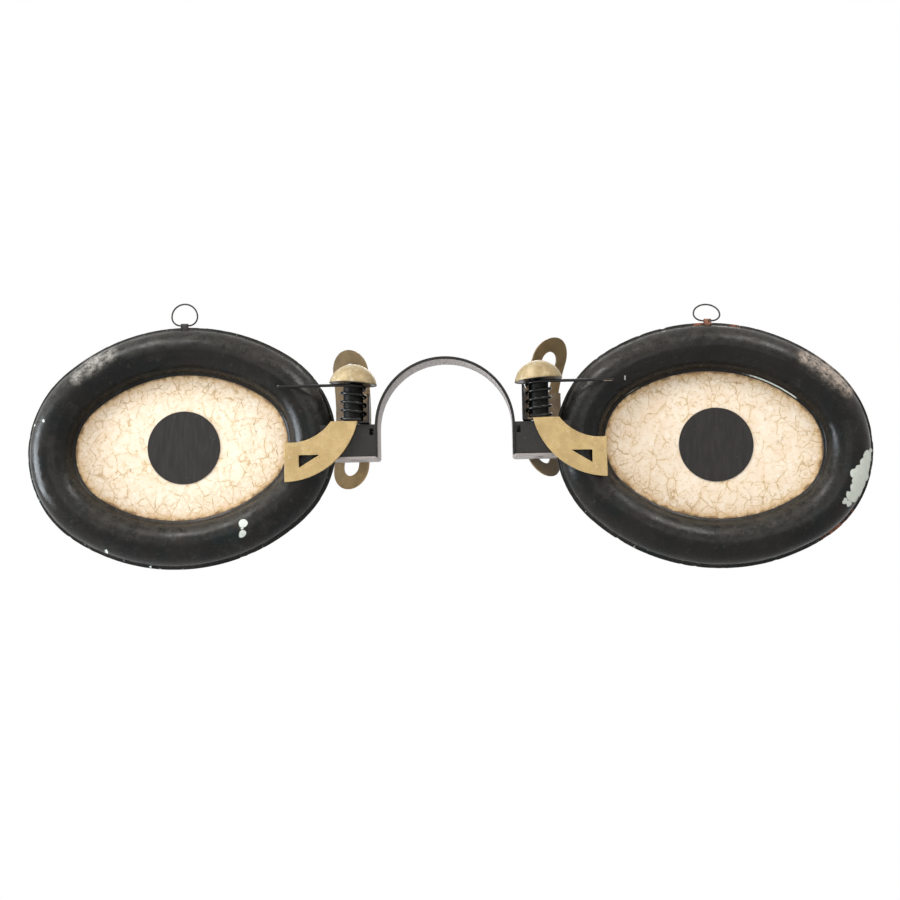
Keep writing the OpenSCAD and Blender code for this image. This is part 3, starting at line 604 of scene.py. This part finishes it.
def bare_steel():
    """Worn steel of the hidden spacers and washers."""
    paint = start_paint("bare_steel")
    colour = paint.mix(STEEL_DARK, STEEL_LIGHT, paint.patches(4, 0.35, 0.65, 5.0, 0.7))
    return paint.finish(colour, 0.45, paint.grain(1.5), 0.05, specular=0.5, metallic=0.7)


front_black = {
    LEFT: frame_paint("left_frame_paint", LEFT_CHIPS, LEFT_WORN_AND_SHEEN, WORN_AND_SHEEN_LEFT),
    RIGHT: frame_paint("right_frame_paint", RIGHT_CHIPS, RIGHT_WORN_AND_SHEEN, WORN_AND_SHEEN_RIGHT, RIGHT_RUST,
                       RIGHT_BRIGHT_LIP),
}
rear_black = frame_paint("rear_frame_paint", REAR_CHIPS)
plain_black = plain_enamel()
post_black = post_paint()
bar_black = bar_paint()
pupil_black = pupil_paint()
cream = cream_paint()
cap_gold = cap_paint()
yoke_gold = yoke_paint()
finger_gold = gold_paint("finger_gold", light=(0.450, 0.318, 0.138), dark=(0.345, 0.235, 0.096),
                         speck=(0.16, 0.10, 0.040), rubbed_share=0.20, metallic=0.1)
pad_gold = {
    # The left pad is painted lighter low down as painted light
    LEFT: gold_paint("left_pad_gold", light=(0.245, 0.165, 0.074), dark=(0.165, 0.108, 0.046),
                     speck=(0.08, 0.052, 0.026), rubbed_share=0.05, metallic=0.05, painted_light_gain=1.9),
    # The right pad's gold is a darker copy of the left's, as painted shade for its turn away from the lamps
    RIGHT: gold_paint("right_pad_gold_shaded", light=(0.200, 0.132, 0.055), dark=(0.130, 0.085, 0.034),
                      speck=(0.07, 0.046, 0.022), rubbed_share=0.05, metallic=0.05),
}
spring_black = {
    LEFT: spring_paint("left_spring_paint", bare_colour=(0.34, 0.29, 0.27)),
    RIGHT: spring_paint("right_spring_paint", bare_colour=(0.34, 0.27, 0.20)),
}
ring_wire = old_wire("ring_wire", rust_from=0.60, rust_colour=(0.15, 0.055, 0.030))
strap_metal = {
    LEFT: old_wire("left_strap_metal", rust_from=0.62, rust_colour=(0.10, 0.085, 0.040)),
    RIGHT: old_wire("right_strap_metal", rust_from=0.46, rust_colour=(0.27, 0.110, 0.060)),
}
steel = bare_steel()


# Meshes

def add_piece(name, points, faces, material, body=None, stands_for=(), weights=None):
    """A visible piece in the given slot, riding on a body and standing for CAD nodes."""
    mesh = bpy.data.meshes.new(name)
    mesh.from_pydata([tuple(p) for p in points], [], faces)
    mesh.update()
    mesh.shade_smooth()
    for key, values in (weights or {}).items():
        mesh.attributes.new(key, "FLOAT", "POINT").data.foreach_set("value", values)
    mesh.materials.append(material)
    piece = bpy.data.objects.new(name, mesh)
    bpy.context.scene.collection.objects.link(piece)
    if body:
        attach(piece, body)
    if stands_for:
        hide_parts(*stands_for)
    return piece


def grid_faces(rows, columns, closed_rows=False, closed_columns=False, flip=False):
    """Quads over a grid of points stored row by row; flip turns them to face the other way."""
    faces = []
    for i in range(rows if closed_rows else rows - 1):
        for j in range(columns if closed_columns else columns - 1):
            a = i * columns + j
            b = i * columns + (j + 1) % columns
            c = ((i + 1) % rows) * columns + (j + 1) % columns
            d = ((i + 1) % rows) * columns + j
            faces.append((a, d, c, b) if flip else (a, b, c, d))
    return faces


def oval_stations(count):
    """About count places round the oval: each arc's centre, its radius and the outward angle."""
    arcs = (
        (END_OUT, 0.0, END_R, -CORNER, CORNER),
        (0.0, -SIDE_DROP, SIDE_R, CORNER, math.pi - CORNER),
        (-END_OUT, 0.0, END_R, math.pi - CORNER, math.pi + CORNER),
        (0.0, SIDE_DROP, SIDE_R, math.pi + CORNER, 2 * math.pi - CORNER),
    )
    total = sum(radius * (end - start) for _, _, radius, start, end in arcs)
    stations = []
    for x, z, radius, start, end in arcs:
        steps = round(count * radius * (end - start) / total)
        stations += [(x, z, radius, start + (end - start) * i / steps) for i in range(steps)]
    return stations


def shell_section():
    """The pressed skin from the seam's edge to the lip: inset, depth, and the rim, lip and dent weights."""
    section = [(0.0, 0.0, 1.0, 0, 0), (0.05, 0.6, 1.0, 0, 0), (0.3, 1.0, 1.0, 0, 0), (0.8, SHEET, 1.0, 0, 0),
               (2.0, SHEET, 0.9, 0, 0), (2.6, 1.4, 0.6, 0, 0)]
    first = math.asin(ROUND_FROM / TUBE_R)
    last = math.pi - math.asin(ROUND_TO / TUBE_R)
    steps = 40
    for i in range(steps + 1):
        turn = first + (last - first) * i / steps
        inset = TUBE_MID - TUBE_R * math.cos(turn)
        rim = max(0.0, 0.5 - (inset - SEAM_W) / SEAM_FADE)
        lip = 0.8 * max(0.0, 1 - (SEAM_W + 2 * TUBE_R - inset) / LIP_FADE)
        section.append((inset, TUBE_R * math.sin(turn), rim, lip, math.sin(turn) ** 0.7))
    section += [(50.1, 3.6, 0, 0.85, 0), (50.8, 2.9, 0, 1, 0), (51.6, 2.45, 0, 1, 0), (52.3, 2.2, 0, 0.85, 0),
                (52.8, 1.9, 0, 0.8, 0), (RIM_W, 1.5, 0, 0.8, 0), (RIM_W, 0.8, 0, 0.8, 0)]
    return section


def seam_nick(edge, seed):
    """How far the seam's edge is worn back: short nicks and a slow unevenness."""
    return 2.6 * max(0.0, ripple(edge, 9, seed) - 0.15) + 0.5 * max(0.0, ripple(edge, 40, seed + 5))


def crease_share(edge, seed):
    """How strongly the crease shows at a place round the oval, from 0 to 1."""
    return max(0.0, min(1.0, 0.5 + 1.4 * ripple(edge, 90, seed + 2)))


def shell(name, side, face, material):
    """One pressed half of a frame, dented, with a faint crease and a nicked seam; face is 1 or -1."""
    section = shell_section()
    stations = oval_stations(SHELL_STATIONS)
    seed = 3.0 * side + 7.0 * face + 11.0
    points = []
    rims = []
    lips = []
    for x, z, radius, angle in stations:
        across = math.cos(angle)
        up = math.sin(angle)
        # Front and back look up the noise 40 mm to either side, so that they are worn differently
        edge = (x + radius * across, z + radius * up, face * 40.0)
        nick = seam_nick(edge, seed)
        crease = CREASE_DEPTH * crease_share(edge, seed)
        for inset, depth, rim, lip, dent in section:
            here = (x + (radius - inset) * across, z + (radius - inset) * up, face * depth)
            hollow = sum(size_depth * ripple(here, size, seed) for size, size_depth in DENTS)
            hollow += crease * math.exp(-(((inset - CREASE_INSET) / CREASE_WIDTH) ** 2))
            push = -dent * (hollow + DENT_SINK)
            lean = math.atan2(depth, TUBE_MID - inset)
            reach = radius - (inset + (nick if inset < 1 else 0.0) - push * math.cos(lean))
            rise = depth + push * math.sin(lean)
            points.append(on_frame(side, x + reach * across, z + reach * up, face * rise))
            rims.append(rim)
            lips.append(lip)
    faces = grid_faces(len(stations), len(section), closed_rows=True, flip=face < 0)
    node = name + ("_front_shell" if face > 0 else "_rear_shell")
    add_piece(node + "_skin", points, faces, material, "root", [node],
              {"rim": rims, "lip": lips})


def face_panel(name, side):
    """The painted panel, which knows each point's distance from the lip."""
    # The points follow the oval out from the core's inset; inside it they shrink to the middle by a share
    core = 82.0
    insets = (core, 76.0, 70.0, 65.0, 61.0, 58.0, 56.0, 54.5, 53.0, 50.0, 46.0)
    half = [(core, share) for share in (0.02, 0.25, 0.5, 0.75)] + [(inset, 1.0) for inset in insets]
    section = [(inset, share, PANEL_T / 2) for inset, share in half]
    section += [(inset, share, -PANEL_T / 2) for inset, share in reversed(half)]
    stations = oval_stations(PANEL_STATIONS)
    points = []
    edges = []
    for x, z, radius, angle in stations:
        for inset, share, depth in section:
            a = (x + (radius - inset) * math.cos(angle)) * share
            b = (z + (radius - inset) * math.sin(angle)) * share
            points.append(on_frame(side, a, b, depth))
            edges.append(inset - RIM_W + 50 * (1 - share))
    wide = len(section)
    faces = grid_faces(len(stations), wide, closed_rows=True, flip=True)
    faces.append(tuple(range(0, len(points), wide)))
    faces.append(tuple(reversed(range(wide - 1, len(points), wide))))
    add_piece(name + "_painted_face", points, faces, cream, "root", [name + "_face_panel"],
              {"edge": edges})


def bar_path():
    """The bar's middle line from one foot's end to the other: place, outward direction and foot share."""
    half_t = BAR_T / 2
    mid = ARCH_R - half_t
    foot_top = FOOT_Z + BAR_T
    path = [(FOOT_END + (ARCH_R - FOOT_END) * i / 24, FOOT_Z + half_t, 0.0, 1.0, 1.0) for i in range(25)]
    for i in range(1, 7):
        out = math.sin(math.pi / 2 * i / 7)
        down = math.cos(math.pi / 2 * i / 7)
        path.append((ARCH_R - half_t * out, foot_top - half_t * down, out, down, down))
    for i in range(9):
        path.append((mid, foot_top + (ARCH_Z - foot_top) * i / 8, 1.0, 0.0, 0.0))
    for i in range(1, 48):
        out = math.cos(math.pi / 2 * i / 48)
        up = math.sin(math.pi / 2 * i / 48)
        path.append((mid * out, ARCH_Z + mid * up, out, up, 0.0))
    path.append((0.0, ARCH_Z + mid, 0.0, 1.0, 0.0))
    return path + [(-x, z, -nx, nz, foot_share) for x, z, nx, nz, foot_share in reversed(path[:-1])]


def bridge_bar():
    """The flat bar with rounded edges, laid along bar_path."""
    half_t = BAR_T / 2
    half_w = BAR_W / 2
    near_edge = 0.2
    section = []
    for y_side, t_side in ((-1, 1), (-1, -1), (1, -1), (1, 1)):
        quarter = [math.radians(30 * step) for step in range(4)]
        if y_side * t_side > 0:
            quarter.reverse()
        for turn in quarter:
            section.append((t_side * (half_t - BAR_EDGE_R + BAR_EDGE_R * math.cos(turn)),
                            y_side * (half_w - BAR_EDGE_R + BAR_EDGE_R * math.sin(turn))))
    path = bar_path()
    points = []
    bare = []
    for x, z, nx, nz, foot_share in path:
        for t, y in section:
            wave = 0.25 * ripple((x, y, z), 30, 2.0)
            points.append(on_bridge(x + nx * t, y + wave, z + nz * t))
            inner = 1.0 if t < -half_t + near_edge else 0.0
            front_edge = foot_share if y < -half_w + near_edge else 0.0
            bare.append(max(inner, front_edge))
    wide = len(section)
    faces = grid_faces(len(path), wide, closed_columns=True)
    faces.append(tuple(reversed(range(wide))))
    faces.append(tuple(range(len(points) - wide, len(points))))
    add_piece("bridge_bar", points, faces, bar_black, "root", ["bridge_arch"], {"bare": bare})


def tube(path, radius, sides, up):
    """A round tube with rounded ends: its points, its faces, and each point's place in the path."""
    end = len(path) - 1
    first = (path[0] - path[1]).normalized()
    last = (path[end] - path[end - 1]).normalized()
    rounding = [(0.6 * radius * share, radius * math.sqrt(1 - share ** 2)) for share in (0.97, 0.75, 0.4)]
    rings = [(path[0] + first * past, small, 0) for past, small in rounding]
    rings += [(place, radius, i) for i, place in enumerate(path)]
    rings += [(path[end] + last * past, small, end) for past, small in reversed(rounding)]
    points = []
    for centre, ring_r, i in rings:
        way = (path[min(i + 1, end)] - path[max(i - 1, 0)]).normalized()
        flat = way.cross(up).normalized()
        rise = flat.cross(way)
        for k in range(sides):
            turn = 2 * math.pi * k / sides
            points.append(centre + flat * ring_r * math.cos(turn) + rise * ring_r * math.sin(turn))
    faces = grid_faces(len(rings), sides, closed_columns=True, flip=True)
    faces.append(tuple(range(sides)))
    faces.append(tuple(reversed(range(len(points) - sides, len(points)))))
    return points, faces, [i for _, _, i in rings for _ in range(sides)]


def wire_bareness(side, along, turn):
    """How bare the spring's tail is: on top at the left one's tip, and underneath near the right one's."""
    to_tip = TAIL_END - along
    if side == LEFT:
        return max(0.0, 0.7 * math.sin(turn)) if to_tip < LEFT_BARE_TO else 0.0
    return max(0.0, -0.8 * math.sin(turn)) if RIGHT_BARE[0] < to_tip < RIGHT_BARE[1] else 0.0


def spring(name, side):
    """The torsion spring as one smooth wire: short lower end, coil, long tail over the frame."""
    path = [Vector((-STUB + STUB * i / STUB_STEPS, -COIL_R, COIL_Z)) for i in range(STUB_STEPS)]
    for i in range(COIL_STEPS + 1):
        turn = -math.pi / 2 + 2 * math.pi * COIL_TURNS * i / COIL_STEPS
        path.append(Vector((COIL_R * math.cos(turn), COIL_R * math.sin(turn),
                            COIL_Z + (TAIL_Z - COIL_Z) * i / COIL_STEPS)))
    tail_start = len(path)
    path += [Vector((TAIL_END * i / TAIL_STEPS, -COIL_R, TAIL_Z)) for i in range(1, TAIL_STEPS + 1)]
    points, faces, place_of = tube(path, WIRE_R, WIRE_SIDES, Vector((0, 0, 1)))
    bare = []
    for k, i in enumerate(place_of):
        along = path[i].x if i >= tail_start else 0.0
        bare.append(wire_bareness(side, along, 2 * math.pi * (k % WIRE_SIDES) / WIRE_SIDES))
    if side == RIGHT:
        faces = [tuple(reversed(face)) for face in faces]
    piece = add_piece(name + "_spring_wire", [on_post(side, *p) for p in points], faces, spring_black[side],
                      None, [name + "_coil_spring"], {"bare": bare})
    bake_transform(piece)


def dome(name, side):
    """Pressed dome with a rolled rim, a slightly dented crown, a ridge and its hollow inside."""
    sphere_r = (CAP_D ** 2 / 4 + CAP_H ** 2) / (2 * CAP_H)
    sphere_z = CAP_H - sphere_r
    rim = math.asin(CAP_D / 2 / sphere_r)
    # Radius, lean from upright, and the crown and under weights
    section = [(sphere_r, rim * i / 22, max(0.0, 1 - i / 10), 0.0) for i in range(1, 23)]
    section += [(sphere_r - 0.35, rim * 1.006, 0.0, 0.4), (sphere_r - 0.9, rim * 1.004, 0.0, 1.0)]
    section += [(sphere_r - SHEET, rim * i / 12, 0.0, 1.0) for i in range(12, 0, -1)]
    points = []
    crown = []
    under = []
    for k in range(CAP_STATIONS):
        turn = 2 * math.pi * k / CAP_STATIONS
        ridge = RIDGE_H * math.exp(-((turn - RIDGE_TURN) / RIDGE_W) ** 2)
        for radius, lean, top, below in section:
            out = (math.sin(lean) * math.cos(turn), math.sin(lean) * math.sin(turn), math.cos(lean))
            here = radius - CAP_INSET
            if not below:
                dent = ripple([CAP_D / 2 * part for part in out], CAP_DENT_SIZE, 4.0 + side)
                here += ridge * math.sin(lean) - CAP_DENT_DEPTH * abs(dent)
            x, y, z = (here * part for part in out)
            # The rim stays just above the cap's base
            points.append(in_cap(side, x, y, max(z + sphere_z, 0.02)))
            crown.append(top)
            under.append(below)
    wide = len(section)
    faces = grid_faces(CAP_STATIONS, wide, closed_rows=True, flip=side == RIGHT)
    outside = len(points)
    inside = outside + 1
    points.append(in_cap(side, 0, 0, CAP_H - 0.25))
    points.append(in_cap(side, 0, 0, CAP_H - CAP_INSET - SHEET))
    crown += [1.0, 0.0]
    under += [0.0, 1.0]
    for k in range(CAP_STATIONS):
        a = k * wide
        b = ((k + 1) % CAP_STATIONS) * wide
        if side == RIGHT:
            a, b = b, a
        faces += [(a, b, outside), (b + wide - 1, a + wide - 1, inside)]
    add_piece(name + "_dome", points, faces, cap_gold, "root", [name + "_dome_cap"],
              {"crown": crown, "under": under})


def repaint(node, material):
    """Gives a CAD node its paint."""
    data = nodes[node].data
    data.materials.clear()
    data.materials.append(material)


def soften(node, width_mm, material):
    """Gives a CAD node its paint and slightly rounded edges."""
    repaint(node, material)
    obj = nodes[node]
    obj.modifiers.new("weld", "WELD").merge_threshold = 0.01 * MM
    bevel = obj.modifiers.new("bevel", "BEVEL")
    bevel.width = width_mm * MM
    bevel.segments = 2
    bevel.limit_method = "ANGLE"
    bevel.angle_limit = math.radians(35)
    obj.modifiers.new("normals", "WEIGHTED_NORMAL")


bridge_bar()
for name, side in SIDES.items():
    shell(name, side, 1, front_black[side])
    shell(name, side, -1, rear_black)
    spring(name, side)
    dome(name, side)
    face_panel(name, side)
    repaint(name + "_front_pupil", pupil_black)
    repaint(name + "_rear_pupil", pupil_black)
    repaint(name + "_hanging_ring", ring_wire)
    repaint(name + "_cap_disc", plain_black)
    soften(name + "_ring_strap", 0.3, strap_metal[side])
    soften(name + "_bracket", 0.35, plain_black)
    soften(name + "_bracket_rivets", 0.5, plain_black)
    soften(name + "_pivot_post", 0.6, post_black)
    soften(name + "_post_spacer", 0.3, steel)
    soften(name + "_thrust_washer", 0.3, steel)
    soften(name + "_lever_yoke", 0.4, yoke_gold)
    soften(name + "_finger_plate", 0.5, finger_gold)
    soften(name + "_nose_pad", 0.5, pad_gold[side])


# Floor, light and camera

def floor_material():
    """Pale floor that shows as the white background, with the sign's shadow left in it."""
    floor = start_paint("floor_paint")
    matt = floor.put("ShaderNodeBsdfDiffuse", {"Color": (*FLOOR_GREY, 1.0)})
    white = floor.put("ShaderNodeEmission", {"Color": (*WHITE, 1.0), "Strength": 1.0})
    away = floor.vector_calc("LENGTH", {0: floor.place}).outputs["Value"]
    share = floor.times(floor.seen_directly(), floor.spread(away, *FLOOR_FADE_M, FLOOR_WHITE_SHARE, 1.0))
    surface = floor.put("ShaderNodeMixShader", {0: share, 1: matt.outputs[0], 2: white.outputs[0]})
    floor.put("ShaderNodeOutputMaterial", {"Surface": surface.outputs[0]})
    return floor.owner


def add_floor():
    mesh = bpy.data.meshes.new("floor")
    turns = [2 * math.pi * k / FLOOR_CORNERS for k in range(FLOOR_CORNERS)]
    rim = [(FLOOR_R_M * math.cos(turn), FLOOR_R_M * math.sin(turn), FLOOR_Z_M) for turn in turns]
    mesh.from_pydata(rim, [], [tuple(range(FLOOR_CORNERS))])
    mesh.materials.append(floor_material())
    floor = bpy.data.objects.new("floor", mesh)
    bpy.context.scene.collection.objects.link(floor)


def add_world():
    """White to the camera, and a soft light that is stronger from above."""
    world = bpy.data.worlds.new("studio")
    bpy.context.scene.world = world
    sky = Shader(world, "Generated")
    glow = sky.spread(sky.axis(sky.place, "Z"), -0.5, 0.7, 0.08, 0.50)
    strength = sky.largest(sky.seen_directly(), glow)
    background = sky.put("ShaderNodeBackground", {"Color": (*WHITE, 1.0), "Strength": strength})
    sky.put("ShaderNodeOutputWorld", {"Surface": background.outputs[0]})


def add_lamp(name, place_m, aim_m, size_m, power, colour):
    light = bpy.data.lights.new(name, "AREA")
    light.shape = "RECTANGLE"
    light.size, light.size_y = size_m
    light.energy = power
    light.color = colour
    lamp = bpy.data.objects.new(name, light)
    lamp.location = place_m
    lamp.rotation_mode = "QUATERNION"
    lamp.rotation_quaternion = (Vector(aim_m) - Vector(place_m)).to_track_quat("-Z", "Y")
    bpy.context.scene.collection.objects.link(lamp)


def add_camera():
    """The camera, where the photo seems to have been taken from."""
    camera = bpy.data.cameras.new("camera")
    camera.sensor_width = EYE_SENSOR
    camera.lens = EYE_LENS
    camera.clip_start = 0.05
    camera.clip_end = 60.0
    eye = bpy.data.objects.new("camera", camera)
    yaw = Matrix.Rotation(EYE_YAW, 4, "Z")
    pitch = Matrix.Rotation(EYE_PITCH, 4, "X")
    roll = Matrix.Rotation(EYE_ROLL, 4, "Z")
    eye.matrix_world = Matrix.Translation((EYE - ORIGIN) * MM) @ yaw @ pitch @ roll
    bpy.context.scene.collection.objects.link(eye)
    bpy.context.scene.camera = eye


add_floor()
add_world()
add_lamp("upper_left", (-1.25, -1.25, 1.95), (-0.1, 0, 0), (1.0, 0.7), 42, LAMP_WHITE)
add_lamp("upper_right", (1.25, -1.25, 1.95), (0.1, 0, 0), (1.0, 0.7), 36, LAMP_WHITE)
add_lamp("left", (-2.15, -0.45, -0.05), (-0.1, 0, 0), (1.0, 1.2), 78, (0.84, 0.92, 1.0))
add_lamp("front_fill", (0.1, -2.7, 0.6), (0, 0, 0), (1.5, 1.0), 8, (1.0, 0.995, 0.98))
add_lamp("rear_fill", (0.2, 2.5, 1.3), (0, 0, 0), (1.4, 1.0), 22, (1.0, 0.99, 0.97))
add_camera()
bpy.context.scene.view_settings.view_transform = "Standard"
